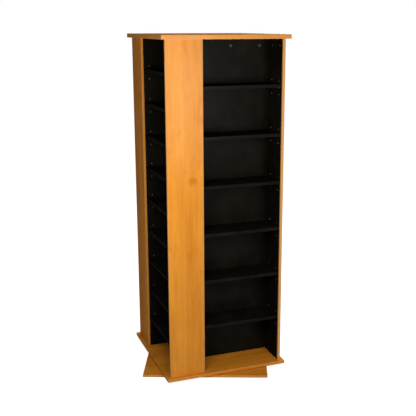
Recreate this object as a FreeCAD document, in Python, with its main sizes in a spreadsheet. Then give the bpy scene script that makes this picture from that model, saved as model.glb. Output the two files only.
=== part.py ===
import FreeCAD, Part

import os

import Sketcher

# A four-sided media tower that turns on a ball-bearing turntable over a square base board.
# Millimetres. The origin is on the turning axis at floor level, +Z is up. The tower's four
# faces lie along X and Y; the base board stands turned under it.
# Four bays stand round a closed square core like the sails of a windmill. Each piece of a bay is
# drawn once, as the front bay (opening towards -Y), and turned to its side of the tower.

Vector = FreeCAD.Vector
UP = Vector(0, 0, 1)

doc = FreeCAD.newDocument("MediaTower")
sheet = doc.addObject("Spreadsheet::Sheet", "sizes")

SIZES = (
    # whole tower
    ("tower_side", 583, "side of the square body, without the overhangs"),
    ("tower_height", 1656, "floor to the top face"),
    ("base_turn", -21.5, "angle of the base board to the tower, degrees"),
    # boards
    ("top_thick", 20, "top panel"),
    ("top_overhang", 20, "top panel past the body"),
    ("bottom_thick", 15, "bottom panel"),
    ("bottom_overhang", 18, "bottom panel past the body"),
    ("base_thick", 12, "base board"),
    ("base_overhang", 17.5, "base board past the body"),
    ("edge_round", 1, "eased edges of the three square boards"),
    ("wall_thick", 12, "upright panels"),
    ("panel_round", 0.8, "eased edges of the upright panels, where they show"),
    ("blind_skin", 4, "wood left behind a blind hole in an upright panel's face"),
    ("hole_fit", 0.05, "radial clearance of a peg or screw in its hole"),
    ("hole_end", 0.5, "clearance at a peg's or bolt's end in its hole"),
    ("bay_depth", 164, "front face to the bay's back panel"),
    # shelves
    ("shelf_thick", 16, "shelf"),
    ("shelf_round", 0.8, "eased front edges of a shelf"),
    ("shelf_setback", 12, "front face to the shelf's front edge"),
    ("shelf_end_gap", 1, "shelf end to the wall"),
    ("shelf_back_gap", 1, "shelf to the back panel"),
    ("case_shelves", 6, "shelves in a bay for film cases"),
    ("case_lift", 7, "drilled rows of a case bay, above even spacing"),
    ("disc_shelves", 9, "shelves in the bay for music discs"),
    ("disc_lift", 0, "drilled rows of the disc bay, above even spacing"),
    # shelf supports
    ("peg_radius", 2.5, "peg of a shelf support"),
    ("peg_inset", 40, "peg from the front face, and from the back panel"),
    ("pad_length", 9, "support's flat pad, out from the wall"),
    ("pad_width", 7, "support's flat pad, across"),
    ("pad_thick", 2, "support's flat pad"),
    ("spare_step", 32, "spare hole above and below each peg hole"),
    # dowels of the upright butt joints
    ("dowel_radius", 3, "dowel"),
    ("dowel_edge_depth", 22, "dowel in the edge of a panel"),
    ("dowel_chamfer", 0.8, "dowel ends"),
    ("dowel_margin", 100, "end dowels from the panel's ends"),
    ("dowel_count", 4, "dowels in a joint"),
    # cam fittings under the top panel
    ("cam_radius", 7.5, "cam lock"),
    ("cam_skin", 2.5, "wood side of a cam lock: what is left of the panel behind it"),
    ("cam_fit", 0.1, "clearance round a cam lock and its bolt"),
    ("cam_setback", 34, "cam lock's centre below the top panel"),
    ("cam_inset", 50, "outer cams of a back panel from the bay's walls"),
    ("cam_side_inset", 40, "cams of a side panel from its edges"),
    ("cam_count", 3, "cams along a back panel"),
    ("bolt_radius", 3, "cam bolt's shank and head"),
    ("bolt_neck", 1.75, "cam bolt's neck"),
    ("bolt_head", 4, "cam bolt's head, along the bolt"),
    ("bolt_thread_radius", 2.5, "cam bolt in the top panel"),
    ("bolt_thread_length", 11, "cam bolt in the top panel"),
    ("driver_width", 1.4, "arm of the cross in a cam lock"),
    ("driver_span", 8, "cross in a cam lock, end to end"),
    ("driver_depth", 2.5, "cross in a cam lock"),
    # screws
    ("screw_radius", 2, "all wood screws"),
    ("screw_head_radius", 4, "all wood screws"),
    ("screw_head_height", 2, "all wood screws"),
    ("screw_tip", 3, "pointed end of a wood screw"),
    ("screw_margin", 1.5, "wood left past the tip of a turntable screw"),
    ("panel_screw_length", 45, "screw through the bottom panel"),
    # turntable
    ("recess_gap", 1, "lower plate to the walls of its pocket in the base board"),
    ("head_clearance", 0.5, "heads of the upper plate's screws over the base board"),
    ("plate_sheet", 1.5, "sheet of the plates"),
    ("plate_margin", 27.5, "circle of the balls to the plates' edges"),
    ("plate_corner", 12, "corner radius of the plates"),
    ("plate_hole_inset", 15.5, "screw holes from the plates' edges"),
    ("plate_hole_radius", 2.3, "screw holes in the plates"),
    ("race_gap", 6, "raised rim of the lower plate to the ball cage"),
    ("ball_radius", 3, "balls"),
    ("race_fit", 0.2, "ball to its grooves"),
    ("groove_depth", 0.7, "groove for the balls in each plate"),
    ("ball_count", 30, "balls"),
    ("cage_thick", 1, "ball cage"),
    ("cage_width", 14, "ball cage, across"),
    ("cage_fit", 0.1, "ball to its pocket in the cage"),
    ("hub_radius", 102.5, "bore of the upper plate"),
    ("hub_lip", 5.5, "hooked lip of the upper plate, past its collar"),
    ("lip_gap", 0.3, "lip to the rim above it and to the board below it"),
    ("lip_side_gap", 1, "lip to the rim round it"),
    ("rim_gap", 2, "lower plate's rim to the upper plate's collar"),
    ("access_radius", 11, "hole in the base board to reach the deck screws"),
)
for row, (alias, number, note) in enumerate(SIZES, start=1):
    sheet.set(f"A{row}", note)
    sheet.set(f"B{row}", str(number))
    sheet.setAlias(f"B{row}", alias)
doc.recompute()

# Places that several pieces share, written with the sheet's sizes. Bay coordinates: the front bay.
HALF = "(sizes.tower_side / 2)"
FACE = "(-sizes.tower_side / 2)"
BACK = f"({FACE} + sizes.bay_depth)"
WALL_LEFT = f"({FACE} + sizes.bay_depth + sizes.wall_thick)"
WALL_RIGHT = f"({HALF} - sizes.wall_thick)"
BAY_WIDTH = f"({WALL_RIGHT} - {WALL_LEFT})"
BLIND = "(sizes.wall_thick - sizes.blind_skin)"
CAM_DEPTH = "(sizes.wall_thick - sizes.cam_skin)"
BEARING = "(2 * (sizes.plate_sheet + sizes.ball_radius + sizes.race_fit - sizes.groove_depth))"
RECESS = f"({BEARING} - sizes.plate_sheet - sizes.screw_head_height - sizes.head_clearance)"
RECESS_Z = f"(sizes.base_thick - {RECESS})"
DECK_Z = f"({RECESS_Z} + {BEARING})"
FLOOR_Z = f"({DECK_Z} + sizes.bottom_thick)"
ROOF_Z = "(sizes.tower_height - sizes.top_thick)"
INNER_HEIGHT = f"({ROOF_Z} - {FLOOR_Z})"
RACE_Z = f"({RECESS_Z} + {BEARING} / 2)"
HUB_WALL = "(sizes.hub_radius + sizes.plate_sheet)"
LIP_END = f"({HUB_WALL} + sizes.hub_lip)"
RIM_INNER = f"({HUB_WALL} + sizes.rim_gap)"
RIM_WALL = f"({LIP_END} + sizes.lip_side_gap)"
RIM_OUTER = f"({RIM_WALL} + sizes.plate_sheet)"
RACE_RADIUS = f"({RIM_OUTER} + sizes.race_gap + sizes.cage_width / 2)"
PLATE_HALF = f"({RACE_RADIUS} + sizes.plate_margin)"
PLATE_HOLE = f"({PLATE_HALF} - sizes.plate_hole_inset)"
PLATE_GRIP = f"(sizes.base_thick - {RECESS} - sizes.screw_margin)"
DECK_GRIP = "(sizes.bottom_thick - sizes.screw_margin)"

BAYS = ("front", "right", "back", "left")
QUARTER = 90
KIND = {"front": "case", "right": "case", "back": "case", "left": "disc"}

parts = {}


def size(expression):
    """Number that an expression of the sheet's sizes gives, in millimetres or degrees."""
    result = sheet.evalExpression(expression)
    return float(getattr(result, "Value", result))


def bayPlacement(bay):
    return FreeCAD.Placement(Vector(), FreeCAD.Rotation(UP, QUARTER * BAYS.index(bay)))


def basePlacement():
    return FreeCAD.Placement(Vector(), FreeCAD.Rotation(UP, size("sizes.base_turn")))


def nextBay(bay):
    """The bay whose left wall is this bay's back panel."""
    return BAYS[(BAYS.index(bay) + 1) % len(BAYS)]


def rowStep(bay):
    """Shelf top to shelf top: the rows of a bay are even."""
    return f"(({INNER_HEIGHT} + sizes.shelf_thick) / (sizes.{KIND[bay]}_shelves + 1))"


def shelfUnder(bay, number):
    """Height of a shelf's underside, counted from the lowest shelf, which is 1."""
    return f"({FLOOR_Z} + {number} * {rowStep(bay)} + sizes.{KIND[bay]}_lift - sizes.shelf_thick)"


# --- Drawing helpers ---

def newBody(name, placement=None):
    body = doc.addObject("PartDesign::Body", name)
    body.Label = name
    if placement is not None:
        body.Placement = placement
    parts[name] = body
    return body


def newSketch(body, role, offset):
    """Sketch on one of the body's origin planes, moved along the plane's normal."""
    plane = next(feature for feature in body.Origin.OriginFeatures if feature.Role == role)
    sketch = body.newObject("Sketcher::SketchObject", "Sketch")
    sketch.AttachmentSupport = [(plane, "")]
    sketch.MapMode = "FlatFace"
    sketch.setExpression("AttachmentOffset.Base.z", offset)
    return sketch


def fix(sketch, name, expression, *constraint):
    """Adds one dimension to a sketch, named and bound to the sheet."""
    index = sketch.addConstraint(Sketcher.Constraint(*constraint, size(expression)))
    sketch.renameConstraint(index, name)
    sketch.setExpression(f"Constraints.{name}", expression)


def outline(sketch, corners):
    """Closed outline of straight lines through corners given as pairs of expressions."""
    points = [Vector(size(across), size(along), 0) for across, along in corners]
    first = sketch.GeometryCount
    count = len(points)
    for start, end in zip(points, points[1:] + points[:1]):
        sketch.addGeometry(Part.LineSegment(start, end), False)
    for number in range(count):
        following = first + (number + 1) % count
        sketch.addConstraint(Sketcher.Constraint("Coincident", first + number, 2, following, 1))
    for number, (across, along) in enumerate(corners):
        fix(sketch, f"across{first + number}", across, "DistanceX", -1, 1, first + number, 1)
        fix(sketch, f"along{first + number}", along, "DistanceY", -1, 1, first + number, 1)


def rectangle(sketch, low, high):
    outline(sketch, ((low[0], low[1]), (high[0], low[1]), (high[0], high[1]), (low[0], high[1])))


def circle(sketch, centre, radius):
    number = sketch.GeometryCount
    start = Vector(size(centre[0]), size(centre[1]), 0)
    sketch.addGeometry(Part.Circle(start, UP, size(radius)), False)
    fix(sketch, f"across{number}", centre[0], "DistanceX", -1, 1, number, 3)
    fix(sketch, f"along{number}", centre[1], "DistanceY", -1, 1, number, 3)
    fix(sketch, f"radius{number}", radius, "Radius", number)


def pad(body, sketch, length):
    feature = body.newObject("PartDesign::Pad", "Pad")
    feature.Profile = sketch
    feature.setExpression("Length", length)
    doc.recompute()
    return feature


def pocket(body, sketch, depth, reverse=False):
    """Cuts a sketch into the body and checks that it took something away."""
    before = body.Shape.Volume
    feature = body.newObject("PartDesign::Pocket", "Pocket")
    feature.Profile = sketch
    feature.Reversed = reverse
    feature.setExpression("Length", depth)
    doc.recompute()
    if body.Shape.Volume > before - 1:
        raise RuntimeError(f"{body.Label}: a pocket cuts nothing")
    return feature


def revolve(body, sketch, kind):
    """Turns a sketch on the XZ plane round the vertical axis, to add or to cut."""
    before = body.Shape.Volume if body.Tip else 0
    feature = body.newObject(f"PartDesign::{kind}", kind)
    feature.Profile = sketch
    feature.ReferenceAxis = (sketch, ["V_Axis"])
    feature.Angle = 360
    doc.recompute()
    grew = body.Shape.Volume > before
    if grew != (kind == "Revolution"):
        raise RuntimeError(f"{body.Label}: a {kind} went the wrong way")
    return feature


def repeat(body, feature, sketch, steps):
    """Repeats a feature along its sketch's axes. Each step is (axis, whole length, count)."""
    multi = body.newObject("PartDesign::MultiTransform", "Repeat")
    multi.Originals = [feature]
    patterns = []
    for axis, length, count in steps:
        pattern = doc.addObject("PartDesign::LinearPattern", "Step")
        body.addObject(pattern)
        pattern.Direction = (sketch, [axis])
        pattern.setExpression("Length", length)
        pattern.setExpression("Occurrences", count)
        patterns.append(pattern)
    multi.Transformations = patterns
    body.Tip = multi
    doc.recompute()


def drill(body, role, offset, centre, radius, depth, reverse=False, steps=()):
    """Blind round holes, one or a row of them, from an offset origin plane into the body."""
    sketch = newSketch(body, role, offset)
    circle(sketch, centre, radius)
    feature = pocket(body, sketch, depth, reverse)
    if steps:
        repeat(body, feature, sketch, steps)


def ease(body, radius, picks):
    """Rounds the edges of the finished body that the test picks."""
    base = body.Tip
    names = [f"Edge{number}" for number, edge in enumerate(base.Shape.Edges, start=1) if picks(edge)]
    fillet = body.newObject("PartDesign::Fillet", "Ease")
    fillet.Base = (base, names)
    fillet.setExpression("Radius", radius)
    doc.recompute()


def solid(kind, label, placement=(0, 0, 0), **sizes):
    """Part primitive whose sizes are bound to the sheet."""
    item = doc.addObject(f"Part::{kind}", label)
    for name, expression in sizes.items():
        item.setExpression(name, expression)
    for axis, expression in zip("xyz", placement):
        item.setExpression(f"Placement.Base.{axis}", str(expression))
    return item


def fuse(label, items):
    joined = doc.addObject("Part::MultiFuse", label)
    joined.Shapes = items
    joined.Refine = True
    doc.recompute()
    return joined


def cut(label, base, tool):
    remaining = doc.addObject("Part::Cut", label)
    remaining.Base = base
    remaining.Tool = tool
    doc.recompute()
    return remaining


def group(name, pattern, places, placement=None):
    """One node of equal pieces: copies of a pattern piece, each a separate solid."""
    copies = []
    for place in places:
        copy = pattern.Shape.copy()
        copy.Placement = place.multiply(copy.Placement)
        copies.append(copy)
    item = doc.addObject("Part::Feature", name)
    item.Shape = Part.makeCompound(copies)
    item.Label = name
    if placement is not None:
        item.Placement = placement
    parts[name] = item


def turn(axis, angle):
    return FreeCAD.Rotation(axis, angle)


# --- Square boards ---

def squareBoard(name, bottom, thick, overhang, placement=None):
    body = newBody(name, placement)
    sketch = newSketch(body, "XY_Plane", bottom)
    low = f"{FACE} - {overhang}"
    high = f"{HALF} + {overhang}"
    rectangle(sketch, (low, low), (high, high))
    pad(body, sketch, thick)
    ease(body, "sizes.edge_round", lambda edge: True)
    return body


def panelPoints():
    """Where the upright panels of a bay are fixed, top and bottom: the same places."""
    middle = f"({BACK} + sizes.wall_thick / 2)"
    side = f"({HALF} - sizes.wall_thick / 2)"
    step = f"(({BAY_WIDTH} - 2 * sizes.cam_inset) / (sizes.cam_count - 1))"
    points = []
    for number in range(int(size("sizes.cam_count"))):
        points.append((f"{WALL_LEFT} + sizes.cam_inset + {number} * {step}", middle, "back"))
    points.append((side, f"{FACE} + sizes.cam_side_inset", "side"))
    points.append((side, f"{BACK} - sizes.cam_side_inset", "side"))
    return points


def quarterTurns(across, along):
    """A point of the front bay and its three turned copies."""
    against = (f"-({across})", f"-({along})")
    return ((across, along), (against[1], across), against, (along, against[0]))


def makeBaseBoard():
    body = squareBoard("base_board", "0", "sizes.base_thick", "sizes.base_overhang", basePlacement())
    side = f"({PLATE_HALF} + sizes.recess_gap)"
    recess = newSketch(body, "XY_Plane", "sizes.base_thick")
    rectangle(recess, (f"-{side}", f"-{side}"), (side, side))
    pocket(body, recess, RECESS)
    # the upper plate's screws pass over this hole when the tower is turned to it
    reach = f"({PLATE_HOLE} * sqrt(2))"
    drill(body, "XY_Plane", "sizes.base_thick", (reach, "0"), "sizes.access_radius", "sizes.base_thick")
    for point in quarterTurns(PLATE_HOLE, PLATE_HOLE):
        drill(body, "XY_Plane", RECESS_Z, point, "sizes.screw_radius + sizes.hole_fit", PLATE_GRIP)


def makeBottomPanel():
    body = squareBoard("bottom_panel", DECK_Z, "sizes.bottom_thick", "sizes.bottom_overhang")
    hole = "sizes.screw_radius + sizes.hole_fit"
    head = "sizes.screw_head_radius + sizes.hole_fit"
    for across, along, _ in panelPoints():
        for point in quarterTurns(across, along):
            drill(body, "XY_Plane", DECK_Z, point, hole, "sizes.bottom_thick", reverse=True)
            drill(body, "XY_Plane", DECK_Z, point, head, "sizes.screw_head_height", reverse=True)
    for point in quarterTurns(PLATE_HOLE, PLATE_HOLE):
        drill(body, "XY_Plane", DECK_Z, point, hole, DECK_GRIP, reverse=True)


def makeTopPanel():
    body = squareBoard("top_panel", ROOF_Z, "sizes.top_thick", "sizes.top_overhang")
    hole = "sizes.bolt_thread_radius + sizes.hole_fit"
    depth = "sizes.bolt_thread_length + sizes.hole_end"
    for across, along, _ in panelPoints():
        for point in quarterTurns(across, along):
            drill(body, "XY_Plane", ROOF_Z, point, hole, depth, reverse=True)


# --- Upright panels ---

def pegRows(bay):
    """Steps of the peg holes of a bay, upwards: the rows, and a spare hole either side of each."""
    count = f"sizes.{KIND[bay]}_shelves"
    return (("V_Axis", f"({count} - 1) * {rowStep(bay)}", count), ("V_Axis", "2 * sizes.spare_step", "3"))


def pegStart(bay):
    """Height of the lowest peg hole of a bay, the spare one under its lowest shelf's."""
    return f"{shelfUnder(bay, 1)} - sizes.peg_radius - sizes.spare_step"


def drillUpright(body, kind):
    """Holes that both uprights have: for the cam bolts at the top, for the screws from below."""
    bore = "sizes.bolt_radius + sizes.cam_fit"
    boreDepth = "sizes.cam_setback + sizes.bolt_head / 2"
    pilot = "sizes.screw_radius + sizes.hole_fit"
    grip = "sizes.panel_screw_length - sizes.bottom_thick"
    for across, along, panel in panelPoints():
        if panel == kind:
            drill(body, "XY_Plane", ROOF_Z, (across, along), bore, boreDepth)
            drill(body, "XY_Plane", FLOOR_Z, (across, along), pilot, grip, reverse=True)


def easeUpright(body, corners):
    """Rounds the full-height edges that stand at the given corners of the upright's plan."""
    spots = [(size(across), size(along)) for across, along in corners]
    tall = size(INNER_HEIGHT) - 1

    def exposed(edge):
        box = edge.BoundBox
        return box.ZLength > tall and any(
            abs(box.XMin - across) < 1e-4 and abs(box.YMin - along) < 1e-4 for across, along in spots)

    ease(body, "sizes.panel_round", exposed)


def dowelSteps():
    return (("V_Axis", f"{INNER_HEIGHT} - 2 * sizes.dowel_margin", "sizes.dowel_count"),)


def makeBackPanel(bay):
    """Back of one bay. Its front edge shows beside the next bay, whose left wall it is."""
    body = newBody(f"{bay}_bay_back_panel", bayPlacement(bay))
    sketch = newSketch(body, "XY_Plane", FLOOR_Z)
    rectangle(sketch, (WALL_LEFT, BACK), (HALF, f"{BACK} + sizes.wall_thick"))
    pad(body, sketch, INNER_HEIGHT)
    drillUpright(body, "back")
    camRadius = "sizes.cam_radius + sizes.cam_fit"
    camStart = (f"{WALL_LEFT} + sizes.cam_inset", f"{ROOF_Z} - sizes.cam_setback")
    camRow = (("H_Axis", f"{BAY_WIDTH} - 2 * sizes.cam_inset", "sizes.cam_count"),)
    camDepth = f"{CAM_DEPTH} + sizes.cam_fit"
    drill(body, "XZ_Plane", f"-{BACK}", camStart, camRadius, camDepth, steps=camRow)

    dowel = "sizes.dowel_radius + sizes.hole_fit"
    low = f"{FLOOR_Z} + sizes.dowel_margin"
    middle = f"{BACK} + sizes.wall_thick / 2"
    outside = f"-({BACK} + sizes.wall_thick)"
    drill(body, "YZ_Plane", WALL_LEFT, (middle, low), dowel, "sizes.dowel_edge_depth", True, dowelSteps())
    drill(body, "XZ_Plane", f"-{BACK}", (f"{HALF} - sizes.wall_thick / 2", low), dowel,
          BLIND, steps=dowelSteps())
    drill(body, "XZ_Plane", outside, (f"-({BACK} + sizes.wall_thick / 2)", low), dowel,
          BLIND, True, dowelSteps())

    other = nextBay(bay)
    columns = (("H_Axis", "sizes.bay_depth - 2 * sizes.peg_inset", "2"),)
    drill(body, "XZ_Plane", outside, (f"-({BACK} - sizes.peg_inset)", pegStart(other)),
          "sizes.peg_radius + sizes.hole_fit", BLIND, True, pegRows(other) + columns)
    easeUpright(body, ((HALF, BACK), (HALF, f"{BACK} + sizes.wall_thick")))


def makeSidePanel(bay):
    """Right wall of one bay: wood outside, black inside."""
    body = newBody(f"{bay}_bay_side_panel", bayPlacement(bay))
    sketch = newSketch(body, "XY_Plane", FLOOR_Z)
    rectangle(sketch, (WALL_RIGHT, FACE), (HALF, BACK))
    pad(body, sketch, INNER_HEIGHT)
    drillUpright(body, "side")
    camStart = (f"{FACE} + sizes.cam_side_inset", f"{ROOF_Z} - sizes.cam_setback")
    camRow = (("H_Axis", "sizes.bay_depth - 2 * sizes.cam_side_inset", "2"),)
    drill(body, "YZ_Plane", WALL_RIGHT, camStart, "sizes.cam_radius + sizes.cam_fit",
          f"{CAM_DEPTH} + sizes.cam_fit", True, camRow)

    low = f"{FLOOR_Z} + sizes.dowel_margin"
    dowel = "sizes.dowel_radius + sizes.hole_fit"
    drill(body, "XZ_Plane", f"-{BACK}", (f"{HALF} - sizes.wall_thick / 2", low), dowel,
          "sizes.dowel_edge_depth", True, dowelSteps())
    columns = (("H_Axis", "sizes.bay_depth - 2 * sizes.peg_inset", "2"),)
    drill(body, "YZ_Plane", WALL_RIGHT, (f"{FACE} + sizes.peg_inset", pegStart(bay)),
          "sizes.peg_radius + sizes.hole_fit", BLIND, True, pegRows(bay) + columns)
    easeUpright(body, ((WALL_RIGHT, FACE), (HALF, FACE), (HALF, BACK)))


# --- Shelves and their supports ---

def makeShelf(bay, number, name):
    body = newBody(name, bayPlacement(bay))
    sketch = newSketch(body, "XY_Plane", shelfUnder(bay, number))
    low = (f"{WALL_LEFT} + sizes.shelf_end_gap", f"{FACE} + sizes.shelf_setback")
    high = (f"{WALL_RIGHT} - sizes.shelf_end_gap", f"{BACK} - sizes.shelf_back_gap")
    rectangle(sketch, low, high)
    pad(body, sketch, "sizes.shelf_thick")
    front = size(low[1])

    def frontEdges(edge):
        box = edge.BoundBox
        return box.XLength > box.ZLength and abs(box.YMin - front) < 1e-4 and box.YLength < 1e-4

    ease(body, "sizes.shelf_round", frontEdges)


def makePegPattern():
    """A shelf support: a peg along +X, into the wall behind X = 0, with a flat pad in front."""
    peg = solid("Cylinder", "PegShank", Radius="sizes.peg_radius",
                Height=f"{BLIND} - sizes.hole_end + sizes.pad_length")
    peg.Placement.Rotation = turn(Vector(0, 1, 0), 90)
    peg.setExpression("Placement.Base.x", f"-({BLIND} - sizes.hole_end)")
    plate = solid("Box", "PegPad", ("0", "-sizes.pad_width / 2", "sizes.peg_radius - sizes.pad_thick"),
                  Length="sizes.pad_length", Width="sizes.pad_width", Height="sizes.pad_thick")
    return fuse("PegPattern", [peg, plate])


def makePegs(bay, pattern):
    places = []
    ahead = turn(UP, 0)
    back = turn(UP, 180)
    for number in range(1, int(size(f"sizes.{KIND[bay]}_shelves")) + 1):
        height = size(f"{shelfUnder(bay, number)} - sizes.peg_radius")
        for along in (size(f"{FACE} + sizes.peg_inset"), size(f"{BACK} - sizes.peg_inset")):
            places.append(FreeCAD.Placement(Vector(size(WALL_LEFT), along, height), ahead))
            places.append(FreeCAD.Placement(Vector(size(WALL_RIGHT), along, height), back))
    group(f"{bay}_bay_shelf_supports", pattern, places, bayPlacement(bay))


# --- Joints between the boards ---

def makeDowels():
    """Dowels along +X of a joint, the face end first."""
    length = f"({BLIND} + sizes.dowel_edge_depth)"
    tip = "sizes.dowel_radius - sizes.dowel_chamfer"
    shank = solid("Cylinder", "DowelShank", ("0", "0", "sizes.dowel_chamfer"), Radius="sizes.dowel_radius",
                  Height=f"{length} - 2 * sizes.dowel_chamfer")
    low = solid("Cone", "DowelLow", Radius1=tip, Radius2="sizes.dowel_radius", Height="sizes.dowel_chamfer")
    high = solid("Cone", "DowelHigh", ("0", "0", f"{length} - sizes.dowel_chamfer"),
                 Radius1="sizes.dowel_radius", Radius2=tip, Height="sizes.dowel_chamfer")
    pattern = fuse("DowelPattern", [shank, low, high])

    count = int(size("sizes.dowel_count"))
    span = size(f"{INNER_HEIGHT} - 2 * sizes.dowel_margin") / (count - 1)
    start = size(f"{FLOOR_Z} + sizes.dowel_margin")
    backJoint = Vector(size(f"{WALL_LEFT} - {BLIND}"), size(f"{BACK} + sizes.wall_thick / 2"), 0)
    sideJoint = Vector(size(f"{HALF} - sizes.wall_thick / 2"), size(f"{BACK} + {BLIND}"), 0)
    alongX = turn(Vector(0, 1, 0), 90)
    againstY = turn(Vector(1, 0, 0), 90)
    places = []
    for bay in BAYS:
        for number in range(count):
            lift = Vector(0, 0, start + number * span)
            for corner, direction in ((backJoint, alongX), (sideJoint, againstY)):
                place = FreeCAD.Placement(corner + lift, direction)
                places.append(bayPlacement(bay).multiply(place))
    group("joint_dowels", pattern, places)


def makeCams():
    """Cam locks in the black faces and the bolts that hang in them from the top panel."""
    disc = solid("Cylinder", "CamDisc", Radius="sizes.cam_radius", Height=CAM_DEPTH)
    slotHalf = "(sizes.bolt_radius + sizes.cam_fit)"
    slotEnd = "(sizes.bolt_head / 2 + sizes.cam_fit)"
    slot = solid("Box", "CamSlot", (f"-{slotEnd}", f"-{slotHalf}", f"sizes.wall_thick / 2 - {slotHalf}"),
                 Length=f"{slotEnd} + sizes.cam_radius", Width=f"2 * {slotHalf}", Height=f"2 * {slotHalf}")
    arms = []
    crossArms = (("CamArmX", "driver_span", "driver_width"), ("CamArmY", "driver_width", "driver_span"))
    for label, along, across in crossArms:
        arms.append(solid("Box", label, (f"-sizes.{along} / 2", f"-sizes.{across} / 2", "0"),
                          Length=f"sizes.{along}", Width=f"sizes.{across}", Height="sizes.driver_depth"))
    cam = cut("CamPattern", disc, fuse("CamTool", [slot] + arms))

    neckTop = "(-sizes.cam_setback + sizes.cam_radius)"
    headTop = "(-sizes.cam_setback + sizes.bolt_head / 2)"
    stretches = (
        ("BoltThread", "0", "sizes.bolt_thread_length", "sizes.bolt_thread_radius"),
        ("BoltShank", neckTop, "0", "sizes.bolt_radius"),
        ("BoltNeck", headTop, neckTop, "sizes.bolt_neck"),
        ("BoltHead", f"({headTop} - sizes.bolt_head)", headTop, "sizes.bolt_radius"),
    )
    lengths = [solid("Cylinder", label, ("0", "0", low), Radius=radius, Height=f"{high} - {low}")
               for label, low, high, radius in stretches]
    bolt = fuse("BoltPattern", lengths)

    roof = size(ROOF_Z)
    camHeight = roof - size("sizes.cam_setback")
    # the pattern's slot runs along +X and its depth along +Z: stand the slot up, point the depth in
    intoBack = FreeCAD.Rotation(Vector(0, 0, 1), Vector(1, 0, 0), Vector(0, 1, 0), "XZY")
    intoSide = FreeCAD.Rotation(Vector(0, 0, 1), Vector(0, -1, 0), Vector(1, 0, 0), "XZY")
    camPlaces = []
    boltPlaces = []
    for bay in BAYS:
        for across, along, panel in panelPoints():
            boltPlace = FreeCAD.Placement(Vector(size(across), size(along), roof), FreeCAD.Rotation())
            if panel == "back":
                camPlace = FreeCAD.Placement(Vector(size(across), size(BACK), camHeight), intoBack)
            else:
                camPlace = FreeCAD.Placement(Vector(size(WALL_RIGHT), size(along), camHeight), intoSide)
            camPlaces.append(bayPlacement(bay).multiply(camPlace))
            boltPlaces.append(bayPlacement(bay).multiply(boltPlace))
    group("cam_locks", cam, camPlaces)
    group("cam_bolts", bolt, boltPlaces)


def makeScrewPattern(label, length, sunk=False):
    """Wood screw pointing up, its head's outer face at Z = 0. The length counts the head."""
    if sunk:
        head = solid("Cone", f"{label}Head", Radius1="sizes.screw_head_radius", Radius2="sizes.screw_radius",
                     Height="sizes.screw_head_height")
    else:
        head = solid("Cylinder", f"{label}Head", Radius="sizes.screw_head_radius",
                     Height="sizes.screw_head_height")
    straight = f"{length} - sizes.screw_tip"
    shank = solid("Cylinder", f"{label}Shank", Radius="sizes.screw_radius", Height=straight)
    tip = solid("Cone", f"{label}Tip", ("0", "0", straight), Radius1="sizes.screw_radius", Radius2="0",
                Height="sizes.screw_tip")
    return fuse(f"{label}Pattern", [head, shank, tip])


def makePanelScrews():
    pattern = makeScrewPattern("PanelScrew", "sizes.panel_screw_length", sunk=True)
    places = []
    for across, along, _ in panelPoints():
        for point in quarterTurns(across, along):
            head = Vector(size(point[0]), size(point[1]), size(DECK_Z))
            places.append(FreeCAD.Placement(head, FreeCAD.Rotation()))
    group("bottom_panel_screws", pattern, places)


# --- Turntable ---

def isUprightCorner(edge):
    """Straight vertical edges, which only the square sheet's corners have."""
    box = edge.BoundBox
    upright = box.ZLength > 1e-3 and box.XLength < 1e-6 and box.YLength < 1e-6
    return upright and isinstance(edge.Curve, Part.Line)


def makeBearingPlate(name, bottom, bore, profile, placement=None):
    """Square sheet with a groove for the balls and a turned profile round its bore."""
    body = newBody(name, placement)
    sketch = newSketch(body, "XY_Plane", bottom)
    rectangle(sketch, (f"-{PLATE_HALF}", f"-{PLATE_HALF}"), (PLATE_HALF, PLATE_HALF))
    circle(sketch, ("0", "0"), bore)
    pad(body, sketch, "sizes.plate_sheet")
    for point in quarterTurns(PLATE_HOLE, PLATE_HOLE):
        drill(body, "XY_Plane", bottom, point, "sizes.plate_hole_radius", "sizes.plate_sheet", reverse=True)
    ease(body, "sizes.plate_corner", isUprightCorner)
    groove = newSketch(body, "XZ_Plane", "0")
    circle(groove, (RACE_RADIUS, RACE_Z), "sizes.ball_radius + sizes.race_fit")
    revolve(body, groove, "Groove")
    edge = newSketch(body, "XZ_Plane", "0")
    outline(edge, profile)
    revolve(body, edge, "Revolution")


def makeBearingPlates():
    """The upper plate's collar reaches down through the lower plate's rim and hooks under it."""
    lipUnder = f"({RECESS_Z} + sizes.lip_gap)"
    lipTop = f"({lipUnder} + sizes.plate_sheet)"
    rimUnder = f"({lipTop} + sizes.lip_gap)"
    rimTop = f"({rimUnder} + sizes.plate_sheet)"
    rim = ((RIM_OUTER, RECESS_Z), (RIM_OUTER, rimTop), (RIM_INNER, rimTop), (RIM_INNER, rimUnder),
           (RIM_WALL, rimUnder), (RIM_WALL, RECESS_Z))
    collar = ((HUB_WALL, DECK_Z), ("sizes.hub_radius", DECK_Z), ("sizes.hub_radius", lipUnder),
              (LIP_END, lipUnder), (LIP_END, lipTop), (HUB_WALL, lipTop))
    makeBearingPlate("bearing_lower_plate", RECESS_Z, RIM_OUTER, rim, basePlacement())
    makeBearingPlate("bearing_upper_plate", f"{DECK_Z} - sizes.plate_sheet", HUB_WALL, collar)


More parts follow.
